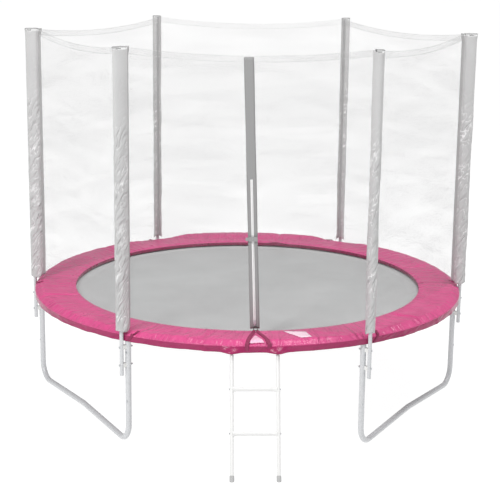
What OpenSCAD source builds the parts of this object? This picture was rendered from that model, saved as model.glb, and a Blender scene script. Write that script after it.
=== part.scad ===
// Round garden trampoline with six enclosure poles, a zipped net and a hook-on ladder.
// The origin is on the floor under the middle of the ring. The door and the ladder face -Y.

/* [Ring and legs] */
// Radius of the top ring, to the middle of its tube
ring_r = 1506; // [1200:1:1900]
// Height of the middle of the ring's tube above the floor
rail_z = 728; // [600:1:950]
// Outside diameter of the frame tubes
tube_d = 38; // [32:0.5:44]
// Wall of the frame tubes
tube_wall = 1.5; // [1:0.1:2.5]
// Height of the joint between a leg base and its upper leg tubes
base_h = 270; // [220:1:340]
// Bend radius of a leg base's corners
corner_r = 120; // [80:1:150]
// Upward slope of a leg base's bar towards its middle, in degrees
bar_slope = 2.6; // [1:0.1:4]
// Length of the stub under each top rail
stub_len = 120; // [100:1:160]

/* [Jumping bed] */
// Distance from the ring's tube to the mat's edge, which the springs span
spring_zone = 187; // [140:1:230]
// Thickness of the mat's cloth
mat_t = 4; // [2:0.5:6]
// Springs on each top rail
springs_per_rail = 10; // [8:1:12]
// Outside diameter of a spring's coil
spring_d = 20; // [14:0.5:24]

/* [Safety pad] */
// Width of the pad, from its inner edge to the outside of its skirt
pad_w = 291.5; // [240:0.5:350]
// Thickness of the pad
pad_t = 19; // [12:1:30]
// Thickness of the pad's hanging skirt
skirt_t = 1.5; // [1:0.1:2.5]
// How far the skirt hangs below the pad
skirt_h = 44; // [20:1:60]

/* [Enclosure] */
// Outside diameter of the poles
pole_d = 25.4; // [20:0.1:32]
// Wall of the poles
pole_wall = 1.2; // [1:0.1:2]
// How far the poles reach below the middle of the ring's tube
pole_drop = 248; // [220:1:300]
// Height above the ring of the joint between lower and upper poles
pole_split_h = 792; // [600:1:1000]
// Height above the ring of the poles' upper ends
pole_rise = 1827; // [1500:1:2200]
// Gap between the pad's skirt and the poles
pole_skirt_gap = 1.6; // [1.5:0.1:12]
// Wall of the foam tubes round the poles
foam_wall = 12; // [8:0.5:18]
// Gap between a foam tube and its sleeve
sleeve_slack = 3.5; // [1:0.5:8]
// Width of the seam flap on each sleeve
seam_w = 30; // [20:1:45]
// Height of the net's top band
band_h = 43; // [25:1:60]
// How far the band sags between two poles
band_sag = 45; // [20:1:90]

/* [Door] */
// Sideways place of the zip's lower end
door_x = 56; // [0:1:80]
// Lean of the door line to the left, in degrees
door_tilt = 1.9; // [0:0.1:3]
// Length of the zip
zip_len = 940; // [700:1:1100]
// Width of the flap behind the zip
flap_w = 62; // [50:1:90]

/* [Ladder] */
// Turn of the ladder about the ring's middle, in degrees
ladder_turn = 2.2; // [0:0.1:6]
// Distance between the ladder's two stiles
stile_gap = 288; // [240:1:340]
// Outside diameter of the ladder's stiles
stile_d = 25; // [20:0.5:30]
// Lean of the ladder from upright, in degrees
ladder_lean = 27.4; // [20:0.1:32]
// Height of the lower step
step_low_z = 258; // [220:1:300]
// Height of the upper step
step_high_z = 503; // [440:1:540]

/* [Hidden] */
rail_names = [for (k = [1:6]) str("top_rail_", k)];
leg_names = [for (k = [1:6]) str("leg_upper_", k)];
base_names = [for (k = [1:3]) str("leg_base_", k)];
lower_names = [for (k = [1:6]) str("pole_lower_", k)];
upper_names = [for (k = [1:6]) str("pole_upper_", k)];
sleeve_names = [for (k = [1:6]) str("pole_sleeve_", k)];
bed_names = ["springs", "mat_rings", "jumping_mat", "safety_pad", "pad_ties", "leg_screws"];
pole_names = ["foam_tubes", "pole_caps", "pole_spacers", "pole_bolts", "pole_nuts"];
net_names = ["enclosure_net", "net_top_band", "door_zip", "zip_flap", "zip_slider"];
door_names = ["door_buckle", "buckle_tongue", "door_ring", "door_straps"];
stile_names = ["ladder_stile_left", "ladder_stile_right"];
step_names = ["ladder_step_lower", "ladder_step_upper", "ladder_bolts", "ladder_feet"];

fit_gap = 0.25;             // radial gap between tubes that slide into each other
tube_r = tube_d / 2;
bore_d = tube_d - 2 * tube_wall;
spigot_d = bore_d - 2 * fit_gap;
spigot_bore_d = spigot_d - 2 * tube_wall;
swage_len = 60;             // length of every reduced tube end
kink_r = 300;               // bend radius in the middle of a leg base's bar
swell = 0.3;                // how much wider a tube is where it is bent
bend_lap = 2;               // how far straight tube runs into a bend
rail_lead = 4;              // degrees from a rail's wide end to its leg
swage_deg = swage_len / ring_r * 57.2958;
rail_end_gap = 0.05;        // degrees left open between two rails
leg_top = rail_z - tube_r - 2;

bolt_rows = [rail_z - 60, rail_z - 180];
bolt_d = 8;
bolt_hole_d = bolt_d + 0.6;
bolt_head_d = 14;
bolt_head_h = 5.5;
bolt_end = tube_r + 12;     // bolt length past the leg's middle, on its nut side
nut_d = 15;
nut_h = 6.5;
screw_d = 5.5;
screw_hole_d = screw_d + 0.5;
screw_head_d = 12;
screw_head_h = 3.5;
screw_top_z = rail_z - stub_len + 24;
screw_low_z = base_h + swage_len / 2;

pad_clear = 5;              // gap between the rails and the pad, above and outside
pad_z0 = rail_z + tube_r + pad_clear;
pad_z1 = pad_z0 + pad_t;
skirt_r = ring_r + tube_r + pad_clear;
pad_out_r = skirt_r + skirt_t;
pad_in_r = pad_out_r - pad_w;
mat_r = ring_r - tube_r - spring_zone;
mat_z = rail_z;
hem_w = 40;
hem_t = mat_t + 3;
ring_ring_r = 10;           // radius of a V-ring, to the middle of its wire
ring_wire = 4;
ring_at_r = mat_r + 1 + ring_ring_r + ring_wire / 2;
spring_wire = 4;
spring_in_r = ring_at_r + ring_ring_r + ring_wire / 2 + 1;
spring_out_r = ring_r - tube_r - 1;
coil_in_r = spring_in_r + 20;
coil_out_r = spring_out_r - 21;
spring_step = 60 / springs_per_rail;
tie_w = 20;
tie_t = 1.2;
tie_gap = 0.8;

pole_r = pole_d / 2;
pole_bottom = rail_z - pole_drop;
pole_split = rail_z + pole_split_h;
pole_top = rail_z + pole_rise;
pole_offset = (tube_r + pad_clear + skirt_t + pole_skirt_gap + pole_r) / cos(30);
pole_bore_d = pole_d - 2 * pole_wall;
pole_spigot_d = pole_bore_d - 2 * fit_gap;
cap_d = pole_d + 4;
cap_h = 12;
cap_grip = 12;
pole_skin = 0.3;            // gap between a pole and its foam
foam_d = pole_d + 2 * (pole_skin + foam_wall);
foam_z0 = pad_z1 + 29;
foam_z1 = pole_top - cap_grip - 8;
sleeve_t = 1.5;
sleeve_d = foam_d + 2 * (sleeve_slack + sleeve_t);
sleeve_z0 = pad_z1 + 4;
sleeve_z1 = pole_top + cap_h + 11;
seam_t = 4;
net_t = 2;
net_z0 = pad_z1 + 4;
hem_h = 25;
net_hem_t = 4;
band_t = 4;
band_end_z = sleeve_z1 - 5;

zip_z0 = pad_z1 + 49;       // height of the zip's lower end
flap_t = 2;
flap_gap = 0.3;
flap_low = 30;              // flap length below the zip's lower end
zip_w = 16;
zip_t = 2;
teeth_w = 5;
teeth_t = 1.5;
slider_len = 22;
slider_w = 12;
slider_gap = 0.3;
slider_t = 3.4;
tab_len = 34;
flap_y = net_hem_t / 2 + flap_gap;
zip_y = flap_y + flap_t + flap_gap;
teeth_y = zip_y + zip_t;
buckle_h = 560;             // buckle's distance up the zip
buckle_y = teeth_y + 7.5;
buckle_t = 9;
door_ring_r = 14;
door_ring_wire = 5;
strap_w = 25;
strap_t = 2;
strap_left_x = 9;
strap_right_x = 150;

hinge_y = -sqrt(ring_r * ring_r - stile_gap * stile_gap / 4);
hook_in_r = tube_r + 1;
hook_t = 2.5;
hook_w = 16;
hook_lift = 9;              // height of a hook's free end above the rail's middle
stile_wall = 1.5;
stile_top_z = pad_z0 - skirt_h - 14;
stile_top_y = hinge_y - hook_in_r - stile_d / 2;
foot_y = stile_top_y - stile_top_z * tan(ladder_lean);
stile_len = stile_top_z / cos(ladder_lean);
stile_start = 14;           // stile's lower end above the floor, along the stile
foot_wall = 2.5;
foot_len = 34;
step_d = 27;
step_end_d = 36;
step_end_len = 28;
step_wall = 2;
step_bolt_d = 6;

// Azimuth of leg k, counted 0 to 5 from +X
function leg_az(k) = 60 * k;
// Azimuth that leg k's U faces, which its pole is offset along
function pair_az(k) = 90 + 120 * floor(((k + 5) % 6) / 2);
function polar(r, a) = [r * cos(a), r * sin(a)];
function pole_xy(k) = polar(ring_r, leg_az(k)) + polar(pole_offset, pair_az(k));
// Corner of the net beside pole k, just inside its sleeve's seam flap
function net_corner(k) = pole_xy(k) * (1 - (sleeve_d / 2 + seam_w + 1) / norm(pole_xy(k)));
function span(k) = net_corner((k + 1) % 6) - net_corner(k % 6);
function heading(v) = atan2(v[1], v[0]);

door_y = net_corner(4)[1];

module at_leg(k) {
    translate([ring_r * cos(leg_az(k)), ring_r * sin(leg_az(k)), 0]) children();
}

module at_pole(k) {
    translate([pole_xy(k)[0], pole_xy(k)[1], 0]) children();
}

module pipe(d, wall, h) {
    difference() {
        cylinder(d = d, h = h, $fn = 48);
        translate([0, 0, -1]) cylinder(d = d - 2 * wall, h = h + 2, $fn = 48);
    }
}

// Shafts of the two pole bolts of leg k, made wider for holes
module pole_bolt_shafts(k, d) {
    at_leg(k) rotate([0, 0, pair_az(k)])
        for (z = bolt_rows)
            translate([-bolt_end, 0, z]) rotate([0, 90, 0])
                cylinder(d = d, h = bolt_end + pole_offset + pole_r, $fn = 32);
}

// Shafts of the screws that lock leg k's tube joints
module leg_screw_shafts(k, d, from_r, len) {
    at_leg(k) rotate([0, 0, leg_az(k)])
        for (z = [screw_top_z, screw_low_z])
            translate([from_r, 0, z]) rotate([0, 90, 0]) cylinder(d = d, h = len, $fn = 32);
}

module arc_tube(r, d, a0, a1) {
    rotate([0, 0, a0]) rotate_extrude(angle = a1 - a0, $fn = 240)
        translate([r, 0]) circle(d = d, $fn = 32);
}

module top_rail(k) {
    a0 = leg_az(k) - rail_lead;
    a1 = a0 + 60 - rail_end_gap;
    color("silver") difference() {
        union() {
            arc_tube(ring_r, tube_d, a0, a1);
            arc_tube(ring_r, spigot_d, a1 - 0.2, a1 + swage_deg);
            at_leg(k) translate([0, 0, -stub_len])
                cylinder(d = spigot_d, h = stub_len, $fn = 48);
        }
        arc_tube(ring_r, bore_d, a0 - 1, a1 - 0.4);
        arc_tube(ring_r, spigot_bore_d, a1 - 1, a1 + swage_deg + 1);
        at_leg(k) translate([0, 0, -stub_len - 1])
            cylinder(d = spigot_bore_d, h = stub_len + 1, $fn = 48);
        translate([0, 0, -rail_z]) pole_bolt_shafts(k, bolt_hole_d);
        translate([0, 0, -rail_z]) leg_screw_shafts(k, screw_hole_d, 0, tube_d);
    }
}

module leg_upper(k) {
    color("silver") difference() {
        at_leg(k) translate([0, 0, base_h]) pipe(tube_d, tube_wall, leg_top - base_h);
        pole_bolt_shafts(k, bolt_hole_d);
        leg_screw_shafts(k, screw_hole_d, 0, tube_d);
    }
}

module bend(r, d, a0, a1) {
    rotate([90, 0, 0]) rotate([0, 0, a0]) rotate_extrude(angle = a1 - a0, $fn = 96)
        translate([r, 0]) circle(d = d, $fn = 32);
}

// A leg base's path in its own upright plane, filled with tube of diameter d.
// The tube is swell wider in its bends, and top is the height of its two upright ends.
module base_path(d, top) {
    c_z = corner_r + (tube_d + swell) / 2;
    run = (ring_r / 2 - corner_r - (corner_r + kink_r) * sin(bar_slope)) / cos(bar_slope);
    start_z = c_z - corner_r * cos(bar_slope);
    kink_z = start_z + run * sin(bar_slope) - kink_r * cos(bar_slope);
    for (side = [0, 1])
        translate([side * ring_r, 0, 0]) rotate([0, 0, side * 180]) {
            translate([0, 0, c_z - bend_lap]) cylinder(d = d, h = top - c_z + bend_lap, $fn = 32);
            translate([corner_r, 0, c_z]) bend(corner_r, d + swell, 180, 270 + bar_slope);
            translate([corner_r * (1 + sin(bar_slope)), 0, start_z]) rotate([0, 90 - bar_slope, 0])
                translate([0, 0, -bend_lap]) cylinder(d = d, h = run + 2 * bend_lap, $fn = 32);
        }
    translate([ring_r / 2, 0, kink_z]) bend(kink_r, d + swell, 90 - bar_slope, 90 + bar_slope);
}

module leg_base(j) {
    k = 2 * j + 1;
    color("silver") difference() {
        at_leg(k) rotate([0, 0, leg_az(k) + 120]) difference() {
            union() {
                base_path(tube_d, base_h);
                for (x = [0, ring_r])
                    translate([x, 0, base_h - 5]) cylinder(d = spigot_d, h = swage_len + 5, $fn = 48);
            }
            base_path(bore_d, base_h - 5);
            for (x = [0, ring_r])
                translate([x, 0, base_h - 6]) cylinder(d = spigot_bore_d, h = swage_len + 7, $fn = 48);
        }
        leg_screw_shafts(k, screw_hole_d, 0, tube_d);
        leg_screw_shafts((k + 1) % 6, screw_hole_d, 0, tube_d);
    }
}

module leg_screws() {
    color("gainsboro") for (k = [0:5]) {
        leg_screw_shafts(k, screw_d, tube_r - 7, 7 + screw_head_h);
        leg_screw_shafts(k, screw_head_d, tube_r, screw_head_h);
    }
}

module springs() {
    color("silver") for (i = [0:6 * springs_per_rail - 1])
        rotate([0, 0, (i + 0.5) * spring_step]) translate([0, 0, mat_z]) rotate([0, 90, 0]) {
            translate([0, 0, spring_in_r])
                cylinder(d = spring_wire, h = spring_out_r - spring_in_r, $fn = 16);
            translate([0, 0, coil_in_r])
                cylinder(d = spring_d, h = coil_out_r - coil_in_r, $fn = 24);
        }
}

module mat_rings() {
    color("silver") for (i = [0:6 * springs_per_rail - 1])
        rotate([0, 0, (i + 0.5) * spring_step]) translate([ring_at_r, 0, mat_z])
            rotate_extrude($fn = 32) translate([ring_ring_r, 0]) circle(d = ring_wire, $fn = 16);
}

module jumping_mat() {
    color("darkgray") translate([0, 0, mat_z]) rotate_extrude($fn = 240) union() {
        translate([0, -mat_t / 2]) square([mat_r, mat_t]);
        translate([mat_r - hem_w, -hem_t / 2]) square([hem_w, hem_t]);
    }
}

// Local frame of the ladder: X along its steps, its outward side towards -Y
module ladder_frame() {
    rotate([0, 0, ladder_turn]) children();
}

module safety_pad() {
    notch_w = hook_w + 44;
    color("palevioletred") difference() {
        rotate_extrude($fn = 240) union() {
            translate([pad_in_r, pad_z0]) square([pad_out_r - pad_in_r, pad_t]);
            translate([skirt_r, pad_z0 - skirt_h]) square([skirt_t, skirt_h + 1]);
        }
        ladder_frame() for (side = [-1, 1])
            translate([side * stile_gap / 2 - notch_w / 2, -pad_out_r - 5, pad_z0 - skirt_h - 5])
                cube([notch_w, 60, skirt_h + 5]);
    }
}

// Elastic loop from the pad's underside round the rail, drawn in its radial plane
module pad_ties() {
    in_r = tube_r + tie_gap;
    color("dimgray") for (m = [0:11])
        rotate([0, 0, 18 + 30 * m]) translate([ring_r, 0, rail_z]) rotate([90, 0, 0])
            translate([0, 0, -tie_w / 2]) linear_extrude(tie_w) difference() {
                union() {
                    circle(r = in_r + tie_t, $fn = 64);
                    translate([-in_r - tie_t, 0]) square([2 * (in_r + tie_t), pad_z0 - rail_z]);
                }
                circle(r = in_r, $fn = 64);
                translate([-in_r, 0]) square([2 * in_r, pad_z0]);
            }
}

// Its seam lies towards the leg, so the bolt holes cut it away
module pole_lower(k) {
    color("silver") difference() {
        at_pole(k) rotate([0, 0, pair_az(k)]) difference() {
            union() {
                translate([0, 0, pole_bottom]) cylinder(d = pole_d, h = pole_split - pole_bottom, $fn = 48);
                translate([0, 0, pole_split - 1]) cylinder(d = pole_spigot_d, h = swage_len, $fn = 48);
            }
            translate([0, 0, pole_bottom - 1])
                cylinder(d = pole_bore_d, h = pole_split - pole_bottom - 5, $fn = 48);
            translate([0, 0, pole_bottom])
                cylinder(d = pole_spigot_d - 2 * pole_wall, h = pole_split, $fn = 48);
        }
        pole_bolt_shafts(k, bolt_hole_d);
    }
}

module pole_upper(k) {
    color("silver") at_pole(k) translate([0, 0, pole_split]) pipe(pole_d, pole_wall, pole_top - pole_split);
}

module pole_caps() {
    color("dimgray") for (k = [0:5])
        at_pole(k) difference() {
            translate([0, 0, pole_top - cap_grip]) cylinder(d = cap_d, h = cap_grip + cap_h, $fn = 48);
            translate([0, 0, pole_top - cap_grip - 1])
                cylinder(d = pole_d + 0.3, h = cap_grip + 1.1, $fn = 48);
        }
}

module foam_tubes() {
    color("gainsboro") for (k = [0:5])
        at_pole(k) translate([0, 0, foam_z0])
            pipe(foam_d, foam_wall, foam_z1 - foam_z0);
}

module pole_sleeve(k) {
    inward = heading(-pole_xy(k));
    seam_start = sleeve_d / 2 - sleeve_t / 2;
    color("silver") at_pole(k) translate([0, 0, sleeve_z0]) rotate([0, 0, inward])
        linear_extrude(sleeve_z1 - sleeve_z0) union() {
            difference() {
                circle(d = sleeve_d, $fn = 48);
                circle(d = sleeve_d - 2 * sleeve_t, $fn = 48);
            }
            translate([seam_start, -seam_t / 2]) square([seam_w + sleeve_t / 2, seam_t]);
        }
}

module pole_spacers() {
    spacer_w = 22;
    spacer_h = 26;
    color("whitesmoke") difference() {
        for (k = [0:5])
            at_leg(k) rotate([0, 0, pair_az(k)])
                for (z = bolt_rows)
                    translate([tube_r / 2, -spacer_w / 2, z - spacer_h / 2])
                        cube([pole_offset - pole_r / 2 - tube_r / 2, spacer_w, spacer_h]);
        for (k = [0:5]) {
            at_leg(k) cylinder(d = tube_d + 0.3, h = rail_z, $fn = 48);
            at_pole(k) cylinder(d = pole_d + 0.3, h = rail_z, $fn = 48);
            pole_bolt_shafts(k, bolt_hole_d);
        }
    }
}

module pole_bolts() {
    color("gainsboro") for (k = [0:5]) {
        pole_bolt_shafts(k, bolt_d);
        at_leg(k) rotate([0, 0, pair_az(k)])
            for (z = bolt_rows)
                translate([pole_offset + pole_r, 0, z]) rotate([0, 90, 0])
                    cylinder(d = bolt_head_d, h = bolt_head_h, $fn = 6);
    }
}

module pole_nuts() {
    color("gainsboro") for (k = [0:5])
        at_leg(k) rotate([0, 0, pair_az(k)])
            for (z = bolt_rows)
                translate([-tube_r - nut_h, 0, z]) rotate([0, 90, 0]) difference() {
                    cylinder(d = nut_d, h = nut_h, $fn = 6);
                    translate([0, 0, -1]) cylinder(d = bolt_d + 0.1, h = nut_h + 2, $fn = 32);
                }
}

// Upright plane of net panel k: X along the panel, Z up, outward side towards -Y
module at_panel(k) {
    translate([net_corner(k % 6)[0], net_corner(k % 6)[1], 0]) rotate([0, 0, heading(span(k))]) children();
}

// Panel outline between two poles, from z0 up to the sagging arc at end height z1
module sagged_outline(k, z0, z1, lift) {
    w = norm(span(k));
    arc_r = (w * w / 4 + band_sag * band_sag) / (2 * band_sag);
    difference() {
        translate([2, z0]) square([w - 4, z1 - z0]);
        translate([w / 2, z1 - band_sag + arc_r]) circle(r = arc_r - lift, $fn = 720);
    }
}

module upright(t) {
    translate([0, t / 2, 0]) rotate([90, 0, 0]) linear_extrude(t) children();
}

// Slot of the door along the zip, cut from the front panel
module door_slot() {
    door_line() translate([-zip_w / 2 + 2, -20, -200]) cube([zip_w - 4, 40, 2400]);
}

module enclosure_net() {
    top = band_end_z - band_h;
    color("white", 0.4) difference() {
        for (k = [0:5])
            at_panel(k) {
                upright(net_t) sagged_outline(k, net_z0, top, 0);
                upright(net_hem_t) translate([2, net_z0]) square([norm(span(k)) - 4, hem_h]);
            }
        door_slot();
    }
}

module net_top_band() {
    color("whitesmoke") for (k = [0:5])
        at_panel(k) upright(band_t) difference() {
            sagged_outline(k, band_end_z - band_h - band_sag, band_end_z, 0);
            sagged_outline(k, band_end_z - band_h - band_sag - 10, band_end_z - band_h + 0.5, 0);
        }
}

// Frame of the door line: origin at the zip's lower end, Z up the zip, outward side towards -Y
module door_line() {
    translate([door_x, door_y, zip_z0]) rotate([0, -door_tilt, 0]) children();
}

module door_strip(w, y, t, z0, z1) {
    door_line() translate([-w / 2, -y - t, z0]) cube([w, t, z1 - z0]);
}

module zip_flap() {
    color("darkgray") door_strip(flap_w, flap_y, flap_t, -flap_low, band_end_z - band_h - band_sag - zip_z0 - 3);
}

module door_zip() {
    color("white") {
        door_strip(zip_w, zip_y, zip_t, 0, zip_len);
        door_strip(teeth_w, teeth_y - 0.1, teeth_t + 0.1, 0, zip_len);
    }
}

module zip_slider() {
    y0 = teeth_y + slider_gap;
    color("gray") door_line() difference() {
        union() {
            translate([-slider_w / 2, -y0 - slider_t, 4]) cube([slider_w, slider_t, slider_len]);
            translate([-4, -y0 - slider_t - 1.5, 4 + slider_len - tab_len]) cube([8, 1.6, tab_len]);
        }
        translate([-teeth_w / 2 - slider_gap, -teeth_y - teeth_t - slider_gap, -2])
            cube([teeth_w + 2 * slider_gap, teeth_t + slider_gap, slider_len + 12]);
    }
}

module door_buckle() {
    color("gray") door_line() translate([0, -buckle_y - buckle_t, buckle_h]) {
        difference() {
            translate([-2, 0, -14]) cube([32, buckle_t, 28]);
            translate([-3, 2, -10.5]) cube([23, buckle_t - 4, 21]);
        }
        translate([26, buckle_t - 0.1, -10]) cube([3, buckle_y - flap_y - flap_t + 0.1, 20]);
    }
}

module buckle_tongue() {
    color("gray") door_line() translate([0, -buckle_y - buckle_t, buckle_h]) {
        translate([-24, 0, -14]) cube([21.5, buckle_t, 28]);
        translate([-3, 2.5, -10]) cube([21, buckle_t - 5, 5]);
        translate([-3, 2.5, 5]) cube([21, buckle_t - 5, 5]);
        translate([-46, buckle_t / 2 - 1, -11]) cube([23, 2, 22]);
    }
}

module door_ring() {
    ring_z = net_z0 + door_ring_r + door_ring_wire / 2;
    ring_x = door_x + 6;
    ring_y = door_y - flap_y - flap_t - door_ring_wire;
    color("dimgray") translate([ring_x, ring_y, ring_z]) rotate([90, 0, 0])
        rotate_extrude($fn = 48) translate([door_ring_r, 0]) circle(d = door_ring_wire, $fn = 16);
}

// Strap lying on the pad from below the ring to the pad's edge, then down outside the skirt
module door_strap(end_x) {
    x0 = door_x + 6 + (end_x > door_x ? 14 : -14);
    y0 = door_y - 22;
    end_y = -sqrt(pad_out_r * pad_out_r - end_x * end_x) - 1;
    run = [end_x - x0, end_y - y0];
    translate([x0, y0, pad_z1 + 0.5]) rotate([0, 0, heading(run)])
        translate([0, -strap_w / 2, 0]) cube([norm(run), strap_w, strap_t]);
    translate([end_x, end_y, 0]) rotate([0, 0, heading([end_x, end_y]) + 90])
        translate([-strap_w / 2, -1, pad_z0 - skirt_h + 4])
            cube([strap_w, strap_t, skirt_h + pad_t + strap_t - 3.5]);
}

module door_straps() {
    color("mediumvioletred") for (x = [strap_left_x, strap_right_x]) door_strap(x);
}

// Stile axis in the ladder's frame: Z runs up the stile from the floor
module at_stile(side) {
    ladder_frame() translate([side * stile_gap / 2, foot_y, 0]) rotate([-ladder_lean, 0, 0]) children();
}

// Holes and shanks of the four step bolts
module step_bolt_shafts(d, from_x, len) {
    for (side = [-1, 1], z = [step_low_z, step_high_z])
        ladder_frame() translate([0, foot_y + z * tan(ladder_lean), z])
            rotate([0, side * 90, 0]) translate([0, 0, from_x]) cylinder(d = d, h = len, $fn = 32);
}

// A hook over the rail with its tang of length len hanging down on the outside, seen from the side
module hook_outline(len) {
    difference() {
        circle(r = hook_in_r + hook_t, $fn = 64);
        circle(r = hook_in_r, $fn = 64);
        translate([-50, -100]) square([50, 100]);
        translate([0, -100]) square([50, 100 + hook_lift]);
    }
    translate([-hook_in_r - hook_t + 0.2, -len]) square([hook_t - 0.4, len + 0.5]);
}

module ladder_stile(side) {
    hook_end_z = stile_top_z - 14;
    color("white") difference() {
        union() {
            difference() {
                at_stile(side) translate([0, 0, stile_start])
                    cylinder(d = stile_d, h = stile_len - stile_start, $fn = 48);
                at_stile(side) translate([0, 0, stile_start - 1])
                    cylinder(d = stile_d - 2 * stile_wall, h = stile_len - stile_start - 20, $fn = 48);
            }
            ladder_frame() translate([side * stile_gap / 2 - hook_w / 2, hinge_y, rail_z])
                rotate([90, 0, 90]) linear_extrude(hook_w) hook_outline(rail_z - hook_end_z);
        }
        step_bolt_shafts(step_bolt_d + 0.4, stile_gap / 2 - stile_d, 2 * stile_d);
    }
}

module ladder_step(z) {
    half = stile_gap / 2;
    color("white") difference() {
        ladder_frame() translate([0, foot_y + z * tan(ladder_lean), z]) rotate([0, 90, 0]) {
            cylinder(d = step_d, h = stile_gap - stile_d, center = true, $fn = 48);
            for (side = [0, 1])
                mirror([0, 0, side]) translate([0, 0, half - stile_d / 2 - step_end_len + 8])
                    cylinder(d1 = step_d, d2 = step_end_d, h = step_end_len - 2, $fn = 48);
        }
        ladder_frame() translate([0, foot_y + z * tan(ladder_lean), z]) rotate([0, 90, 0])
            cylinder(d = step_d - 2 * step_wall, h = stile_gap - 3 * stile_d, center = true, $fn = 48);
        for (side = [-1, 1])
            at_stile(side) cylinder(d = stile_d + 0.2, h = stile_len, $fn = 48);
        step_bolt_shafts(step_bolt_d + 0.4, half - 2.1 * stile_d, 2 * stile_d);
    }
}

module ladder_bolts() {
    head_x = stile_gap / 2 + stile_d / 2 + 0.3;
    shank = stile_d + 22;
    color("gainsboro") {
        step_bolt_shafts(step_bolt_d, head_x - shank, shank);
        step_bolt_shafts(2 * step_bolt_d, head_x, 4);
    }
}

module ladder_feet() {
    color("darkgray") for (side = [-1, 1])
        difference() {
            at_stile(side) translate([0, 0, -20])
                cylinder(d = stile_d + 2 * foot_wall, h = foot_len + 20, $fn = 48);
            at_stile(side) translate([0, 0, stile_start - 0.5])
                cylinder(d = stile_d + 0.3, h = foot_len, $fn = 48);
            translate([-ring_r, -2 * ring_r, -100]) cube([2 * ring_r, 2 * ring_r, 100]);
        }
}

for (k = [0:5]) {
    translate([0, 0, rail_z]) top_rail(k);
    leg_upper(k);
    pole_lower(k);
    pole_upper(k);
    pole_sleeve(k);
}
for (j = [0:2]) leg_base(j);
springs();
mat_rings();
jumping_mat();
safety_pad();
pad_ties();
leg_screws();
foam_tubes();
pole_caps();
pole_spacers();
pole_bolts();
pole_nuts();
enclosure_net();
net_top_band();
door_zip();
zip_flap();
zip_slider();
door_buckle();
buckle_tongue();
door_ring();
door_straps();
ladder_stile(-1);  // ladder_stile_left
ladder_stile(1);  // ladder_stile_right
ladder_step(step_low_z);  // ladder_step_lower
ladder_step(step_high_z);  // ladder_step_upper
ladder_bolts();
ladder_feet();
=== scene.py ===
import math
import bmesh
import bpy
import numpy as np
from mathutils import Matrix, Vector


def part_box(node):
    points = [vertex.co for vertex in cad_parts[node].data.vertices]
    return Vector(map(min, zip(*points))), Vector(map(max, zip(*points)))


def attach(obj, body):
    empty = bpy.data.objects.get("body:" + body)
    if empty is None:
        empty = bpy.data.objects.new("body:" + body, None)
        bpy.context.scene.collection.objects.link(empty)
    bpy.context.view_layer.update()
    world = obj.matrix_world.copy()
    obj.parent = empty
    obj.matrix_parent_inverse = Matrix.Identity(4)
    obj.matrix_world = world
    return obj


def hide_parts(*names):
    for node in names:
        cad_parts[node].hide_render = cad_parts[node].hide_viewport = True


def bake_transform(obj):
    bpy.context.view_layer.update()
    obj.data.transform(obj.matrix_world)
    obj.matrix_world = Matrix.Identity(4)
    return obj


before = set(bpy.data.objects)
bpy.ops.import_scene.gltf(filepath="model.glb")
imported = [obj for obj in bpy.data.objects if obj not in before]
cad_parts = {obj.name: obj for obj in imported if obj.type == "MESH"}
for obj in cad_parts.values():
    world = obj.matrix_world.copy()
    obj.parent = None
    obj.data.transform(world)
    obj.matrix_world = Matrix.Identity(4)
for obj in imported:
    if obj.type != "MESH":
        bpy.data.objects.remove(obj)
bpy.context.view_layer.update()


# shared helpers

def linear(hexColour):  # sRGB hex to linear RGBA
    values = [int(hexColour[i:i + 2], 16) / 255 for i in (1, 3, 5)]
    return tuple(v / 12.92 if v <= 0.04045 else ((v + 0.055) / 1.055) ** 2.4 for v in values) + (1,)


def addNode(tree, kind, settings=None, links=None, onto=None):
    # one node with its settings, its inputs' values or links, and the sockets that its outputs go onto.
    # A node given as a value links its first output.
    node = tree.nodes.new(kind)
    for name, value in (settings or {}).items():
        setattr(node, name, value)
    for name, value in (links or {}).items():
        if isinstance(value, bpy.types.Node):
            value = value.outputs[0]
        if isinstance(value, bpy.types.NodeSocket):
            tree.links.new(value, node.inputs[name])
        else:
            node.inputs[name].default_value = value
    for output, socket in (onto or {}).items():
        tree.links.new(node.outputs[output], socket)
    return node


def calc(tree, operation, *values):  # one step of arithmetic on nodes, sockets or numbers
    return addNode(tree, "ShaderNodeMath", {"operation": operation}, dict(enumerate(values)))


def smooth(low, high, x):  # rises softly from 0 at low to 1 at high
    t = np.clip((x - low) / (high - low), 0, 1)
    return t * t * (3 - 2 * t)


def meshPiece(name, points, faces, material, uvs=None):  # uvs: one place on the flat cloth for each point
    mesh = bpy.data.meshes.new(name)
    mesh.from_pydata([tuple(p) for p in points], [], faces)
    if uvs is not None:
        layer = mesh.uv_layers.new(name="patternUV")
        corners = np.zeros(len(mesh.loops), np.int32)
        mesh.loops.foreach_get("vertex_index", corners)
        layer.data.foreach_set("uv", np.asarray(uvs, np.float32)[corners].ravel())
    mesh.materials.append(material)
    mesh.polygons.foreach_set("use_smooth", [True] * len(mesh.polygons))
    mesh.update()
    piece = bpy.data.objects.new(name, mesh)
    bpy.context.scene.collection.objects.link(piece)
    return piece


def gridFaces(rows, columns, closedAcross=False, closedAlong=False):  # four-sided faces between rows
    faces = []
    for i in range(rows if closedAlong else rows - 1):
        for j in range(columns if closedAcross else columns - 1):
            a, b = i * columns + j, i * columns + (j + 1) % columns
            c = ((i + 1) % rows) * columns
            faces.append((a, b, c + (j + 1) % columns, c + j))
    return faces


def facesOut(piece):  # turns every face of a closed shell outwards
    shell = bmesh.new()
    shell.from_mesh(piece.data)
    bmesh.ops.recalc_face_normals(shell, faces=shell.faces)
    shell.to_mesh(piece.data)
    shell.free()


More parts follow.
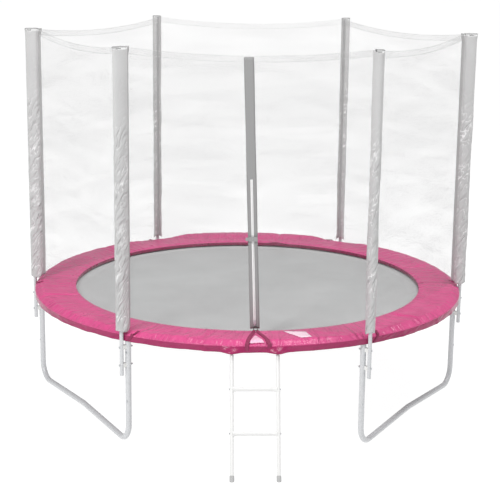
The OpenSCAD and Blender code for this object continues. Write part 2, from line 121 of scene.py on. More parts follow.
def withModifiers(piece):  # what the modifiers give becomes the piece's own mesh
    depsgraph = bpy.context.evaluated_depsgraph_get()
    mesh = bpy.data.meshes.new_from_object(piece.evaluated_get(depsgraph))
    piece.modifiers.clear()
    piece.data = mesh
    return piece


def thicken(piece, thickness, offset=0.0, innerMaterial=0):
    solid = piece.modifiers.new("wall", "SOLIDIFY")
    solid.thickness = thickness
    solid.offset = offset
    solid.material_offset = innerMaterial
    return withModifiers(piece)


def creases(u, v, seed, wavelength, count, slant=(-180, 180)):
    # sharp fold lines in several directions, each fading in and out, from 0 to about 1
    rng = np.random.RandomState(seed)
    total = np.zeros_like(u)
    for _ in range(count):
        angle = math.radians(rng.uniform(*slant))
        along = u * math.cos(angle) + v * math.sin(angle)
        across = -u * math.sin(angle) + v * math.cos(angle)
        length = wavelength * rng.uniform(0.6, 1.7)
        bend = 0.35 * length * np.sin(across / length * rng.uniform(0.6, 1.4) + rng.uniform(0, 6.3))
        ridge = (1 - np.abs(np.sin(math.pi * (along + bend) / length + rng.uniform(0, 6.3)))) ** 3
        fade = smooth(0.1, 0.9, 0.5 + 0.5 * np.sin(across / length * 1.3 + rng.uniform(0, 6.3))
                      * np.sin(along / length * 0.9 + rng.uniform(0, 6.3)))
        total += ridge * fade * rng.uniform(0.5, 1)
    return total / count * 2


def waves(u, v, seed, wavelength, count=6):  # soft uneven waves, about -1 to 1
    rng = np.random.RandomState(seed)
    total = np.zeros_like(u)
    for _ in range(count):
        angle, phase = rng.uniform(0, math.pi), rng.uniform(0, 6.3)
        length = wavelength * rng.uniform(0.6, 1.8)
        total += np.sin(2 * math.pi * (u * math.cos(angle) + v * math.sin(angle)) / length + phase)
    return total / count ** 0.5 / 1.4


# places that the frame gives

def middle(node):
    low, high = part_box(node)
    return (low + high) / 2


poles = [middle(f"pole_upper_{k + 1}") for k in range(6)]
legs = [middle(f"leg_upper_{k + 1}") for k in range(6)]
ringRadius = sum(Vector((p.x, p.y)).length for p in legs) / 6
padLow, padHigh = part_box("safety_pad")
matLow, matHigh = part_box("jumping_mat")
matRadius, matMiddle = matHigh.x, (matLow.z + matHigh.z) / 2
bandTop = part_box("net_top_band")[1].z
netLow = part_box("enclosure_net")[0].z
sleeveLow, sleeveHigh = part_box("pole_sleeve_1")[0].z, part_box("pole_sleeve_1")[1].z
zipLow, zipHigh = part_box("door_zip")
flapLow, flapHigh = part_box("zip_flap")


# camera, lights and floor

view = {"place": (0.0501, -9.8204, 3.3632), "farthest": 400,  # metres
        "yaw": -0.2009, "pitch": -13.5387, "roll": 0.6846,  # degrees
        "lens": 100.19, "sensor": 36}  # millimetres


def makeCamera():
    yaw, pitch, roll = (math.radians(view[name]) for name in ("yaw", "pitch", "roll"))
    ahead = Vector((math.sin(yaw) * math.cos(pitch), math.cos(yaw) * math.cos(pitch), math.sin(pitch)))
    right = ahead.cross(Vector((0, 0, 1))).normalized()
    up = right.cross(ahead)
    turnedRight = right * math.cos(roll) + up * math.sin(roll)
    turnedUp = up * math.cos(roll) - right * math.sin(roll)
    data = bpy.data.cameras.new("camera")
    data.sensor_width = view["sensor"]
    data.lens = view["lens"]
    data.clip_end = view["farthest"]
    camera = bpy.data.objects.new("camera", data)
    bpy.context.scene.collection.objects.link(camera)
    camera.matrix_world = Matrix((turnedRight, turnedUp, -ahead)).transposed().to_4x4()
    camera.location = view["place"]
    bpy.context.scene.camera = camera


studio = {"sky": 0.42, "floor": "#808080", "floorGlow": 0.9, "floorSize": 300, "aim": (0, 0, 1),
          "lamps": (((-4.5, -7.0, 6.5), 2.5, 470), ((2.5, -1.0, 8.0), 4.0, 400))}  # place, width, power


def makeStudio():
    world = bpy.data.worlds.new("softSky")
    world.use_nodes = True
    sky = world.node_tree.nodes["Background"]
    sky.inputs["Color"].default_value = (1, 1, 1, 1)
    sky.inputs["Strength"].default_value = studio["sky"]
    bpy.context.scene.world = world
    for place, width, power in studio["lamps"]:
        data = bpy.data.lights.new("softBox", "AREA")
        data.size, data.energy = width, power
        lamp = bpy.data.objects.new("softBox", data)
        lamp.location = place
        lamp.rotation_euler = (Vector(studio["aim"]) - Vector(place)).to_track_quat("-Z", "Y").to_euler()
        bpy.context.scene.collection.objects.link(lamp)
    half = studio["floorSize"] / 2
    floor = meshPiece("floor", [(-half, -half, 0), (half, -half, 0), (half, half, 0), (-half, half, 0)],
                      [(0, 1, 2, 3)], paperFloor())
    bpy.context.scene.view_settings.view_transform = "Standard"


# materials

def newMaterial(name, colour, roughness, metallic=0.0):
    material = bpy.data.materials.new(name)
    material.use_nodes = True
    shader = material.node_tree.nodes["Principled BSDF"]
    shader.inputs["Base Color"].default_value = linear(colour)
    shader.inputs["Roughness"].default_value = roughness
    shader.inputs["Metallic"].default_value = metallic
    return material, material.node_tree, shader


def tint(tree, shader, share, low, high):  # the colour goes from low to high with a pattern
    addNode(tree, "ShaderNodeMix", {"data_type": "RGBA"}, {0: share, 6: linear(low), 7: linear(high)},
            {2: shader.inputs["Base Color"]})


def vary(tree, shader, share, low, high):  # the roughness goes from low to high with a pattern
    addNode(tree, "ShaderNodeMapRange", None, {"Value": share, "To Min": low, "To Max": high},
            {0: shader.inputs["Roughness"]})


def emboss(tree, shader, height, depth):  # a pattern stands up by that many metres
    addNode(tree, "ShaderNodeBump", None, {"Height": height, "Distance": depth},
            {0: shader.inputs["Normal"]})


def weave(tree, place, spacing):  # two crossed sets of threads, each spacing metres apart, 0 to 1
    parts = addNode(tree, "ShaderNodeSeparateXYZ", None, {0: place})
    rises = []
    for axis in ("X", "Y"):
        angle = calc(tree, "MULTIPLY", parts.outputs[axis], math.pi / spacing)  # half a turn to each thread
        rises.append(calc(tree, "ABSOLUTE", calc(tree, "SINE", angle)))
    return calc(tree, "MAXIMUM", *rises)


def perMetre(millimetres):  # a pattern's scale from the size of one of its grains, cells or threads
    return 1000 / millimetres


def paperFloor():  # matt paper sweep, lit from behind: evenly pale
    material, tree, shader = newMaterial("paperFloor", studio["floor"], 0.95)
    shader.inputs["Emission Color"].default_value = (1, 1, 1, 1)
    shader.inputs["Emission Strength"].default_value = studio["floorGlow"]
    return material


def galvanisedTube():  # hot-dip galvanised and lacquered tube: pale grey with faint spangle, soft shine
    material, tree, shader = newMaterial("galvanisedTube", "#CDCED0", 0.3, 0.05)
    place = addNode(tree, "ShaderNodeTexCoord").outputs["Object"]
    spangle = addNode(tree, "ShaderNodeTexVoronoi", None, {"Vector": place, "Scale": perMetre(11.1)})
    tint(tree, shader, spangle.outputs["Distance"], "#D2D3D5", "#C4C6C8")
    grain = addNode(tree, "ShaderNodeTexNoise", None, {"Vector": place, "Scale": perMetre(2.5)})
    vary(tree, shader, grain.outputs["Fac"], 0.26, 0.46)
    emboss(tree, shader, grain.outputs["Fac"], 0.0002)
    return material


def zincPlated():  # zinc plated steel wire and bolts: bright grey metal, slightly uneven
    material, tree, shader = newMaterial("zincPlated", "#C7C9CC", 0.3, 1.0)
    place = addNode(tree, "ShaderNodeTexCoord").outputs["Object"]
    grain = addNode(tree, "ShaderNodeTexNoise", None, {"Vector": place, "Scale": perMetre(4)})
    vary(tree, shader, grain.outputs["Fac"], 0.22, 0.45)
    return material


def whiteEnamel():  # powder coat on steel tube: white, glossy, with faint orange peel
    material, tree, shader = newMaterial("whiteEnamel", "#E4E4E3", 0.28)
    place = addNode(tree, "ShaderNodeTexCoord").outputs["Object"]
    peel = addNode(tree, "ShaderNodeTexNoise", None, {"Vector": place, "Scale": perMetre(2)})
    emboss(tree, shader, peel.outputs["Fac"], 0.0001)
    vary(tree, shader, peel.outputs["Fac"], 0.22, 0.36)
    shader.inputs["Coat Weight"].default_value = 0.3
    return material


def coatedCloth(name, light, dark, crinkle):
    # PVC coated polyester: smooth and shiny, with the base cloth's threads and creases showing through.
    # The threads are 1 mm apart on the real cloth and are drawn 5 mm apart, so that they show.
    material, tree, shader = newMaterial(name, light, 0.3)
    place = addNode(tree, "ShaderNodeUVMap", {"uv_map": "patternUV"}).outputs["UV"]
    laid = addNode(tree, "ShaderNodeMapping", {"vector_type": "TEXTURE"},
                   {"Vector": place, "Rotation": (0, 0, crinkle["turn"]),
                    "Scale": (1, crinkle["stretch"], 1)})
    field = addNode(tree, "ShaderNodeTexNoise", None,
                    {"Vector": laid, "Scale": 1 / crinkle["size"], "Detail": 1.5,
                     "Distortion": 0.7})
    level = calc(tree, "SUBTRACT", field.outputs["Fac"], 0.5)
    valley = calc(tree, "ABSOLUTE", level)  # creases: 0
    cloud = addNode(tree, "ShaderNodeTexNoise", None,
                    {"Vector": place, "Scale": perMetre(200), "Detail": 4.0})
    sharp = addNode(tree, "ShaderNodeMapRange", {"interpolation_type": "SMOOTHSTEP"},
                    {"Value": valley, "From Max": crinkle["width"], "To Min": 1.0, "To Max": 0.0})
    patchy = addNode(tree, "ShaderNodeMapRange", None, {"Value": cloud.outputs["Fac"], "From Min": 0.4,
                                                        "From Max": 0.6, "To Max": crinkle["strength"]})
    height = addNode(tree, "ShaderNodeSeparateXYZ", None, {0: place})
    slack = addNode(tree, "ShaderNodeMapRange", {"interpolation_type": "SMOOTHSTEP"},  # smooth above calmTo
                    {"Value": height.outputs["Y"], "From Min": crinkle["calmFrom"],
                     "From Max": crinkle["calmTo"], "To Min": 1.0, "To Max": 0.12})
    # where the creases are sharp, painted light is mixed into the cloth's colour
    marked = calc(tree, "MULTIPLY", sharp, patchy)
    paintedCreaseMask = calc(tree, "MULTIPLY", marked, slack)
    shade = addNode(tree, "ShaderNodeMix", {"data_type": "RGBA"},
                    {0: cloud.outputs["Fac"], 6: linear(light), 7: linear(dark)})
    addNode(tree, "ShaderNodeMix", {"data_type": "RGBA"},  # painted light along the creases: painted shade on the pink cloths, painted highlight on the grey sleeve cloth
            {0: paintedCreaseMask, 6: shade.outputs[2], 7: linear(crinkle["paintedCreaseLight"])},
            {2: shader.inputs["Base Color"]})
    vary(tree, shader, cloud.outputs["Fac"], 0.2, 0.42)
    threads = addNode(tree, "ShaderNodeBump", None, {"Height": weave(tree, place, 0.005), "Distance": 0.0002})
    addNode(tree, "ShaderNodeBump", None,
            {"Strength": slack, "Height": valley, "Distance": crinkle["depth"],
             "Normal": threads}, {0: shader.inputs["Normal"]})
    shader.inputs["Specular IOR Level"].default_value = 0.35
    shader.inputs["Coat Weight"].default_value = 0.15
    shader.inputs["Coat Roughness"].default_value = 0.2
    return material


def wovenMat():  # woven polypropylene: matt grey, flat threads; 2 mm threads drawn 6 mm apart
    material, tree, shader = newMaterial("wovenMat", "#B4B5B5", 0.55)
    place = addNode(tree, "ShaderNodeUVMap", {"uv_map": "patternUV"}).outputs["UV"]
    threads = weave(tree, place, 0.006)
    cloud = addNode(tree, "ShaderNodeTexNoise", None,
                    {"Vector": place, "Scale": perMetre(333), "Detail": 3.0})
    blend = calc(tree, "MULTIPLY", threads, cloud.outputs["Fac"])
    tint(tree, shader, blend, "#A9AAAA", "#BFC0C0")
    emboss(tree, shader, threads, 0.0004)
    return material


def knittedNet(name, narrow, wide, light, dark):
    # Knitted polyester net: open diamonds of fine pale thread, which reads as a white haze.
    # The real holes are 3 mm wide and are drawn 8 mm wide, so that they show.
    # narrow and wide: the share of a hole that one thread takes, where the net is slack and where it bunches.
    material, tree, shader = newMaterial(name, light, 0.7)
    place = addNode(tree, "ShaderNodeUVMap", {"uv_map": "patternUV"}).outputs["UV"]
    laid = addNode(tree, "ShaderNodeMapping", None,  # soft folds, 0.9 m long and 0.14 m high, a little aslant
                   {"Vector": place, "Rotation": (0, 0, 0.12), "Scale": (1.1, 7, 1)})
    folds = addNode(tree, "ShaderNodeTexNoise", None,
                    {"Vector": laid, "Scale": 1.0, "Detail": 3.0, "Distortion": 0.8})
    width = addNode(tree, "ShaderNodeMapRange", None, {"Value": folds.outputs["Fac"], "From Min": 0.35,
                                                       "From Max": 0.7, "To Min": narrow, "To Max": wide})
    parts = addNode(tree, "ShaderNodeSeparateXYZ", None, {0: place})
    strands = []
    for operation in ("ADD", "SUBTRACT"):
        slant = calc(tree, operation, parts.outputs["X"], parts.outputs["Y"])
        share = calc(tree, "MULTIPLY", slant, perMetre(8))
        strands.append(calc(tree, "LESS_THAN", calc(tree, "FRACT", share), width))
    addNode(tree, "ShaderNodeMath", {"operation": "MAXIMUM"}, {0: strands[0], 1: strands[1]},
            {0: shader.inputs["Alpha"]})
    tint(tree, shader, folds.outputs["Fac"], light, dark)
    return material


def webbing(name, light, dark, spacing=0.005, roughness=0.6):
    # woven tape: ribs across it. The ribs are 1 mm apart on the real tape and are drawn coarser.
    material, tree, shader = newMaterial(name, light, roughness)
    place = addNode(tree, "ShaderNodeUVMap", {"uv_map": "patternUV"}).outputs["UV"]
    threads = weave(tree, place, spacing)
    tint(tree, shader, threads, dark, light)
    emboss(tree, shader, threads, 0.0005)
    return material


def mouldedPlastic(name, colour, dark):  # injection moulded ABS: satin, with a fine spark texture
    material, tree, shader = newMaterial(name, colour, 0.42)
    place = addNode(tree, "ShaderNodeTexCoord").outputs["Object"]
    grain = addNode(tree, "ShaderNodeTexNoise", None, {"Vector": place, "Scale": perMetre(1.43)})
    tint(tree, shader, grain.outputs["Fac"], dark, colour)
    emboss(tree, shader, grain.outputs["Fac"], 0.00015)
    return material


def closedFoam():  # expanded polyethylene: matt, with fine cells
    material, tree, shader = newMaterial("closedFoam", "#E6E6E4", 0.85)
    place = addNode(tree, "ShaderNodeTexCoord").outputs["Object"]
    cells = addNode(tree, "ShaderNodeTexVoronoi", None, {"Vector": place, "Scale": perMetre(4)})
    tint(tree, shader, cells.outputs["Distance"], "#DADAD8", "#EEEEEC")
    emboss(tree, shader, cells.outputs["Distance"], 0.0005)
    return material


def softRubber():  # thermoplastic rubber foot: matt grey with light scuffs
    material, tree, shader = newMaterial("softRubber", "#B4B4B4", 0.7)
    place = addNode(tree, "ShaderNodeTexCoord").outputs["Object"]
    scuff = addNode(tree, "ShaderNodeTexNoise", None,
                    {"Vector": place, "Scale": perMetre(8.33), "Detail": 6.0})
    tint(tree, shader, scuff.outputs["Fac"], "#A2A2A2", "#C2C2C2")
    emboss(tree, shader, scuff.outputs["Fac"], 0.0003)
    return material


print("stage: materials")
# paintedCreaseLight: colour painted along the creases, painted shade on the pink cloths and a painted
# highlight on the grey sleeves
padCrinkle = {"turn": 0.12, "stretch": 5.0, "size": 0.06, "depth": 0.032, "width": 0.035, "strength": 0.42,
              "paintedCreaseLight": "#93265A", "calmFrom": 8.0, "calmTo": 9.0}
skirtCrinkle = {**padCrinkle, "turn": 1.25, "stretch": 3.0, "depth": 0.02, "strength": 0.5, "paintedCreaseLight": "#7A1A45"}
# crinkle for the pale sheet between the door straps, whose colour is a painted highlight
highlightSheetCrinkle = {**padCrinkle, "size": 0.03, "stretch": 2.0, "width": 0.05, "strength": 0.9,
                 "paintedCreaseLight": "#C23F7C"}
sleeveCrinkle = {"turn": -0.5, "stretch": 3.5, "size": 0.03, "depth": 0.028, "width": 0.03, "strength": 0.85,
                 "paintedCreaseLight": "#F0F0F0", "calmFrom": 1.92, "calmTo": 2.22}
finishes = {
    "tube": galvanisedTube(), "zinc": zincPlated(), "enamel": whiteEnamel(), "foam": closedFoam(),
    "rubber": softRubber(), "mat": wovenMat(),
    "padCloth": coatedCloth("pinkCoatedCloth", "#D6528A", "#C84880", padCrinkle),
    # darker copies of the pink cloth: painted shade on the hanging skirt and on the pad's inner face and
    # underside
    "padSkirtPaintedShade": coatedCloth("pinkSkirtClothPaintedShade", "#A3285F", "#912051", skirtCrinkle),
    "padEdgePaintedShade": coatedCloth("pinkClothPaintedShade", "#8E2450", "#7F1C45", padCrinkle),
    # painted highlight: pale pink sheet between the door straps
    "paleHighlightSheet": coatedCloth("palePinkPaintedHighlight", "#F3C3D8", "#EBB0CA", highlightSheetCrinkle),
    "sleeveCloth": coatedCloth("greyCoatedCloth", "#C2C2C2", "#B5B5B5", sleeveCrinkle),
    "net": knittedNet("knittedNet", 0.026, 0.085, "#989898", "#8A8A8A"),
    "band": knittedNet("knittedNetHem", 0.05, 0.08, "#A6A6A6", "#969696"),
    "loop": webbing("whiteLoopTape", "#E2E2E2", "#D2D2D2"),
    # darker grey: painted shade on the sleeves' seam flaps, also used on the top row at the back of each
    # sleeve's mouth
    "seam": webbing("darkerGreySeamAndHem", "#A8A8A8", "#989898"),
    "flap": webbing("greyFlapCloth", "#949494", "#858585"),
    "zipTape": webbing("whiteZipTape", "#F4F4F4", "#E6E6E6", 0.003),
    "strap": webbing("pinkStrapTape", "#8F2B54", "#7A2046", 0.004),
    "lining": webbing("whiteLiningCloth", "#F4F4F4", "#E6E6E6"),
    "patch": webbing("palePatchCloth", "#F6D9E5", "#F0CBDB", 0.003, 0.4),
    "greyPlastic": mouldedPlastic("greyPlastic", "#9C9C9C", "#8E8E8E"),
    "whitePlastic": mouldedPlastic("whitePlastic", "#E6E6E4", "#D8D8D6"),
    "darkPlastic": mouldedPlastic("darkPlastic", "#5A605C", "#4A504C"),
    "elastic": webbing("greyElastic", "#5C5C5E", "#48484A", 0.003),
    "thread": mouldedPlastic("whiteThread", "#E2E2E2", "#D2D2D2"),
    "pinkThread": mouldedPlastic("pinkThread", "#D8739C", "#C9608C"),
}

cadFinish = {
    "top_rail": "tube", "leg_upper": "tube", "leg_base": "tube", "pole_lower": "tube", "pole_upper": "tube",
    "leg_screws": "zinc", "pole_bolts": "zinc", "pole_nuts": "zinc", "zip_slider": "zinc",
    "ladder_bolts": "zinc",
    "pole_caps": "greyPlastic", "door_buckle": "greyPlastic", "buckle_tongue": "greyPlastic",
    "pole_spacers": "whitePlastic", "door_ring": "darkPlastic", "foam_tubes": "foam", "pad_ties": "elastic",
    "ladder_stile": "enamel", "ladder_step": "enamel", "ladder_feet": "rubber",
}
for nodeName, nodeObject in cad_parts.items():
    for start, finish in cadFinish.items():
        if nodeName.startswith(start):
            if not nodeObject.material_slots:
                nodeObject.data.materials.append(finishes[finish])
            for slot in nodeObject.material_slots:
                slot.material = finishes[finish]

makeCamera()
makeStudio()


# Geometry Nodes trees for what repeats

def newTree(name, inputs):  # a tree with named inputs, and the sockets that give them
    tree = bpy.data.node_groups.new(name, "GeometryNodeTree")
    tree.interface.new_socket(name="Geometry", in_out="INPUT", socket_type="NodeSocketGeometry")
    for label, kind in inputs:
        tree.interface.new_socket(name=label, in_out="INPUT", socket_type="NodeSocket" + kind)
    tree.interface.new_socket(name="Geometry", in_out="OUTPUT", socket_type="NodeSocketGeometry")
    return tree, tree.nodes.new("NodeGroupInput").outputs


def endTree(tree, given, shape):  # real geometry, smooth, in the given material
    real = addNode(tree, "GeometryNodeRealizeInstances", None, {"Geometry": shape})
    shaded = addNode(tree, "GeometryNodeSetShadeSmooth", None, {"Geometry": real, "Shade Smooth": True})
    done = addNode(tree, "GeometryNodeSetMaterial", None,
                   {"Geometry": shaded, "Material": given["Material"]})
    addNode(tree, "NodeGroupOutput", None, {"Geometry": done})
    return tree


def growPiece(name, tree, values, points=(), edges=()):  # a piece made by a tree, turned into a plain mesh
    mesh = bpy.data.meshes.new(name)
    mesh.from_pydata([tuple(p) for p in points], list(edges), [])
    piece = bpy.data.objects.new(name, mesh)
    bpy.context.scene.collection.objects.link(piece)
    modifier = piece.modifiers.new("grow", "NODES")
    modifier.node_group = tree
    for item in tree.interface.items_tree:
        if item.in_out == "INPUT" and item.name in values:
            modifier[item.identifier] = values[item.name]
    return withModifiers(piece)


def aroundCentre(tree, given, shape):  # copies of a shape, evenly turned about the middle of the mat
    spots = addNode(tree, "GeometryNodePoints", None, {"Count": given["Count"]})
    index = addNode(tree, "GeometryNodeInputIndex")
    angle = calc(tree, "MULTIPLY_ADD", index, given["Step"], given["First Angle"])
    turn = addNode(tree, "ShaderNodeCombineXYZ", None, {"Z": angle})
    return addNode(tree, "GeometryNodeInstanceOnPoints", None,
                   {"Points": spots, "Instance": shape, "Rotation": turn})


def stitchTree():
    # small blocks along a line: stitches or zip teeth
    tree, given = newTree("blocksAlongLine", [
        ("Pitch", "Float"), ("Size", "Vector"), ("Material", "Material")])
    line = addNode(tree, "GeometryNodeMeshToCurve", None, {"Mesh": given["Geometry"]})
    spots = addNode(tree, "GeometryNodeCurveToPoints", {"mode": "LENGTH"},
                    {"Curve": line, "Length": given["Pitch"]})
    block = addNode(tree, "GeometryNodeMeshCube", None, {"Size": given["Size"]})
    placed = addNode(tree, "GeometryNodeInstanceOnPoints", None,
                     {"Points": spots.outputs["Points"], "Instance": block,
                      "Rotation": spots.outputs["Rotation"]})
    return endTree(tree, given, placed)


def springTree():
    # tension springs side by side round part of the ring, each a coil along +X with straight hook shanks
    tree, given = newTree("springRow", [
        ("Count", "Int"), ("First Angle", "Float"), ("Step", "Float"), ("Coil Radius", "Float"),
        ("Coil Start", "Float"), ("Coil Length", "Float"), ("Turns", "Float"), ("Shank", "Float"),
        ("Wire", "Float"), ("Height", "Float"), ("Material", "Material")])
    coil = addNode(tree, "GeometryNodeCurveSpiral", None,
                   {"Resolution": 9, "Rotations": given["Turns"],
                    "Start Radius": given["Coil Radius"], "End Radius": given["Coil Radius"],
                    "Height": given["Coil Length"]})
    shankSpan = calc(tree, "MULTIPLY_ADD", given["Shank"], 2.0, given["Coil Length"])
    below = calc(tree, "MULTIPLY", given["Shank"], -1.0)
    shankFrom = addNode(tree, "ShaderNodeCombineXYZ", None, {"Z": below})
    above = calc(tree, "ADD", shankSpan, below)
    shankTo = addNode(tree, "ShaderNodeCombineXYZ", None, {"Z": above})
    shank = addNode(tree, "GeometryNodeCurvePrimitiveLine", None, {"Start": shankFrom, "End": shankTo})
    lines = addNode(tree, "GeometryNodeJoinGeometry")
    tree.links.new(coil.outputs[0], lines.inputs[0])
    tree.links.new(shank.outputs[0], lines.inputs[0])
    wire = addNode(tree, "GeometryNodeCurvePrimitiveCircle", None,
                   {"Resolution": 5, "Radius": given["Wire"]})
    solid = addNode(tree, "GeometryNodeCurveToMesh", None,
                    {"Curve": lines, "Profile Curve": wire, "Fill Caps": True})
    laid = addNode(tree, "GeometryNodeTransform", None,
                   {"Geometry": solid, "Rotation": (0.0, math.pi / 2, 0.0)})
    reach = addNode(tree, "ShaderNodeCombineXYZ", None, {"X": given["Coil Start"], "Z": given["Height"]})
    pushed = addNode(tree, "GeometryNodeTransform", None, {"Geometry": laid, "Translation": reach})
    return endTree(tree, given, aroundCentre(tree, given, pushed))


def ringTree():
    # wire rings or loops of tape, evenly spaced round the mat; Corners of 3 gives the triangular V-ring
    tree, given = newTree("ringsRoundMat", [
        ("Count", "Int"), ("First Angle", "Float"), ("Step", "Float"), ("Reach", "Float"),
        ("Height", "Float"), ("Corners", "Int"), ("Ring Radius", "Float"), ("Wire", "Float"),
        ("Stretch", "Vector"), ("Material", "Material")])
    outline = addNode(tree, "GeometryNodeCurvePrimitiveCircle", None,
                      {"Resolution": given["Corners"], "Radius": given["Ring Radius"]})
    eased = addNode(tree, "GeometryNodeFilletCurve", None, {"Curve": outline, "Radius": 0.003})
    wire = addNode(tree, "GeometryNodeCurvePrimitiveCircle", None,
                   {"Resolution": 6, "Radius": given["Wire"]})
    solid = addNode(tree, "GeometryNodeCurveToMesh", None, {"Curve": eased, "Profile Curve": wire})
    shaped = addNode(tree, "GeometryNodeTransform", None, {"Geometry": solid, "Scale": given["Stretch"]})
    reach = addNode(tree, "ShaderNodeCombineXYZ", None, {"X": given["Reach"], "Z": given["Height"]})
    pushed = addNode(tree, "GeometryNodeTransform", None, {"Geometry": shaped, "Translation": reach})
    return endTree(tree, given, aroundCentre(tree, given, pushed))


blocksAlongLine = stitchTree()
springRow = springTree()
ringsRoundMat = ringTree()


def stitchLine(name, runs, pitch, size, finish, body, closed=False):
    # rows of stitches along one or more lines of points
    points, edges = [], []
    for run in runs:
        first = len(points)
        points += list(run)
        edges += [(first + i, first + i + 1) for i in range(len(run) - 1)]
        if closed:
            edges.append((len(points) - 1, first))
    sizes = {"Pitch": pitch, "Size": size, "Material": finishes[finish]}
    piece = growPiece(name, blocksAlongLine, sizes, points, edges)
    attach(piece, body)
    return piece


# jumping bed: mat, rings and springs

bed = {"springCount": 60, "springsInPiece": 5, "coilRadius": 0.0085, "wire": 0.0016, "turns": 24.0,
       "shank": 0.022, "hookIn": 0.004, "ringReach": 0.013, "ringRadius": 0.0115, "ringWire": 0.0018,
       "loopReach": 0.001, "loopRadius": 0.0045, "loopWire": 0.0011,
       "hemWidth": 0.04, "hemRise": 0.0015, "columns": 240, "rings": 12, "stitch": (0.0016, 0.0016, 0.009)}


def makeMat():
    print("stage: mat")
    columns, rings, low, high = bed["columns"], bed["rings"], matLow.z, matHigh.z
    thin = bed["hemRise"]  # the hem is this much thicker than the cloth, on each side
    hem = matRadius - bed["hemWidth"]
    profile = [(0.004, high - thin)] + [(hem * i / rings, high - thin) for i in range(1, rings + 1)]
    profile += [(hem + 0.001, high), (matRadius - 0.004, high), (matRadius, high - 0.0025)]
    profile += [(matRadius, low + 0.0025), (matRadius - 0.004, low), (hem + 0.001, low), (hem, low + thin)]
    profile += [(hem * i / rings, low + thin) for i in range(rings - 1, 0, -1)] + [(0.004, low + thin)]
    points, uvs = [], []
    for r, z in profile:
        for i in range(columns):
            a = 2 * math.pi * i / columns
            points.append((r * math.cos(a), r * math.sin(a), z))
            uvs.append((r * math.cos(a), r * math.sin(a)))
    faces = gridFaces(len(profile), columns, closedAcross=True)
    faces += [tuple(range(columns))[::-1], tuple(range(len(points) - columns, len(points)))]
    mat = meshPiece("mat_cloth", points, faces, finishes["mat"], uvs)
    facesOut(mat)
    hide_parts("jumping_mat")
    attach(mat, "bed")
    stitched = [[(r * math.cos(a), r * math.sin(a), z) for a in np.linspace(0, 2 * math.pi, 181)[:-1]]
                for r in (hem + 0.006, matRadius - 0.008) for z in (high, low)]
    stitchLine("mat_stitches", stitched, 0.016, bed["stitch"], "thread", "bed", closed=True)


def makeRings():
    step = 2 * math.pi / bed["springCount"]
    shared = {"Count": bed["springCount"], "First Angle": step / 2, "Step": step, "Height": matMiddle}
    ring = growPiece("v_rings", ringsRoundMat, {
        **shared, "Reach": matRadius + bed["ringReach"], "Corners": 3, "Ring Radius": bed["ringRadius"],
        "Wire": bed["ringWire"], "Stretch": (-1.0, 1.25, 1.0), "Material": finishes["zinc"]})
    facesOut(ring)
    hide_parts("mat_rings")
    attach(ring, "bed")
    loops = growPiece("mat_loops", ringsRoundMat, {
        **shared, "Reach": matRadius + bed["loopReach"], "Corners": 8, "Ring Radius": bed["loopRadius"],
        "Wire": bed["loopWire"], "Stretch": (1.2, 3.2, 2.0), "Material": finishes["loop"]})
    facesOut(loops)
    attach(loops, "bed")


def makeSprings():
    print("stage: springs")
    step = 2 * math.pi / bed["springCount"]
    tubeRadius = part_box("top_rail_1")[1].z - matMiddle
    outer = ringRadius - tubeRadius + bed["hookIn"]
    inner = matRadius + 2 * bed["ringReach"] - bed["hookIn"]
    shank, perPiece = bed["shank"], bed["springsInPiece"]
    for i in range(bed["springCount"] // perPiece):
        first = step * (i * perPiece + 0.5)
        row = growPiece(f"spring_row_{i + 1}", springRow, {
            "Count": perPiece, "First Angle": first, "Step": step, "Coil Radius": bed["coilRadius"],
            "Coil Start": inner + shank, "Coil Length": outer - inner - 2 * shank, "Turns": bed["turns"],
            "Shank": shank, "Wire": bed["wire"], "Height": matMiddle, "Material": finishes["zinc"]})
        facesOut(row)
        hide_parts("springs")
        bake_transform(row)


makeMat()
makeRings()
makeSprings()


# safety pad

pad = {"sections": 6, "firstSeam": 20, "seamDepth": 0.006, "seamWidth": 0.007,  # angles in degrees
       "around": 900, "width": 0.2915, "past": 0.0255, "thick": 0.019, "innerGap": 0.0095,
       "pressure": 4.0, "frames": 18, "cap": 0.009, "slack": -0.012,  # the cloth simulation
       "folds": 0.0075, "skirtWave": 0.005, "skirtFolds": 0.006, "skirtLift": 0.004,
       "doorAngle": 272.5, "raisedSeam": 79.5, "raised": 0.010,
       "flare": 0.042, "flareWidth": 0.05,  # how far the skirt stands out over the ladder's hooks
       "crown": (0.012, 0.022, 0.012, 0.010, 0.006, 0.010),  # rise over the ring, for panels 1 to 6
       "stitch": (0.0014, 0.0014, 0.009)}


def padProfile():
    # closed outline of the pad across its width, as (radius, height, how free it is to move, part)
    inner, outer, top = ringRadius + pad["past"] - pad["width"], ringRadius + pad["past"], padHigh.z
    bottom, hang = top - pad["thick"], padLow.z
    drop = matHigh.z + pad["innerGap"]
    rows = [(r, bottom + 0.0005, 0.0, "under") for r in np.linspace(outer - 0.010, inner + 0.012, 10)]
    rows += [(inner + 0.0035, z, 0.0, "edgeBack") for z in np.linspace(bottom - 0.002, drop, 4)]
    rows += [(inner + 0.0015, z, 0.0, "edge") for z in np.linspace(drop, top - 0.0075, 6)]
    rows += [(inner + 0.0045, top - 0.0042, 1.0, "top")]
    rows += [(r, top - 0.004, 1.0, "top") for r in np.linspace(inner + 0.012, outer - 0.055, 25)]
    rows += [(outer - 0.044, top - 0.0045, 1.0, "top"), (outer - 0.034, top - 0.0055, 1.0, "top"),
             (outer - 0.024, top - 0.0075, 1.0, "top"), (outer - 0.015, top - 0.0103, 0.9, "top"),
             (outer - 0.0075, top - 0.0138, 0.5, "rim"), (outer - 0.0025, top - 0.018, 0.0, "rim")]
    rows += [(outer - 0.0003, z, 0.0, "skirt") for z in np.linspace(bottom - 0.005, hang, 7)]
    rows += [(outer - 0.0018, z, 0.0, "skirtBack") for z in np.linspace(hang, bottom - 0.006, 6)]
    return rows


padTop = {}  # the pad's finished upper side, for what lies on it


